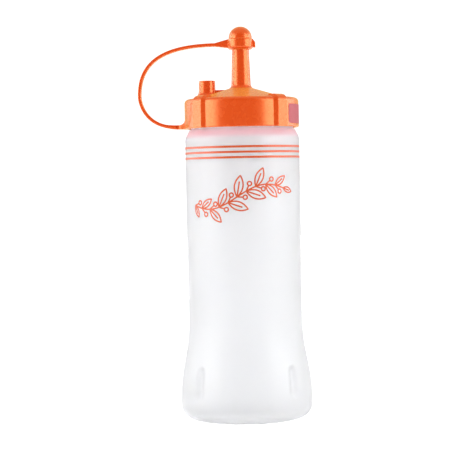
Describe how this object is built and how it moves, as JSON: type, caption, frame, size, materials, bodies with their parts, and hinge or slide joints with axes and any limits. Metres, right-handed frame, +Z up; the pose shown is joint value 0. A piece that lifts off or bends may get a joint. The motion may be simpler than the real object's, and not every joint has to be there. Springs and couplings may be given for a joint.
{
  "type": "condiment squeeze bottle",
  "caption": "Translucent round squeeze bottle with a flared foot, a screw cap with an upright tapered nozzle, and a push-on tip cap tied to the screw cap by a looped strap.",
  "frame": {"origin": "centre of the ring that the bottle stands on, on the bottle's axis", "axes": "+Z up along the bottle's axis; the strap loops out towards -X and the thumb tab points to +X; the printed front faces -Y"},
  "size_m": [0.0971, 0.0756, 0.2239],
  "materials": {
    "bottle_polyethylene": "translucent satin",
    "orange_ink": "screen printed",
    "seal_silicone": "matt",
    "orange_plastic": "glossy moulded",
    "label_vinyl": "printed vinyl"
  },
  "bodies": {
    "bottle": {"bottle_body": "bottle_polyethylene", "printed_stripes": "orange_ink"},
    "seal": {"sealing_ring": "seal_silicone"},
    "cap": {"screw_cap": "orange_plastic", "cap_label": "label_vinyl", "tether_strap": "orange_plastic"},
    "tip": {"tip_cap": "orange_plastic"}
  },
  "joints": [
    {"name": "cap_lift", "type": "slide", "parent": "bottle", "child": "seal", "axis": [0, 0, 1], "range_m": [0, 0.00751]},
    {"name": "cap_turn", "type": "hinge", "parent": "seal", "child": "cap", "pos_m": [0, 0, 0.1733], "axis": [0, 0, 1], "range_deg": [0, 540]},
    {"name": "tip_pull", "type": "slide", "parent": "cap", "child": "tip", "axis": [0, 0, 1], "range_m": [0, 0.016], "deforming": ["tether_strap"]}
  ],
  "couplings": [
    {"joint": "cap_lift", "follows": "cap_turn", "m_per_rad": 0.00079577}
  ]
}
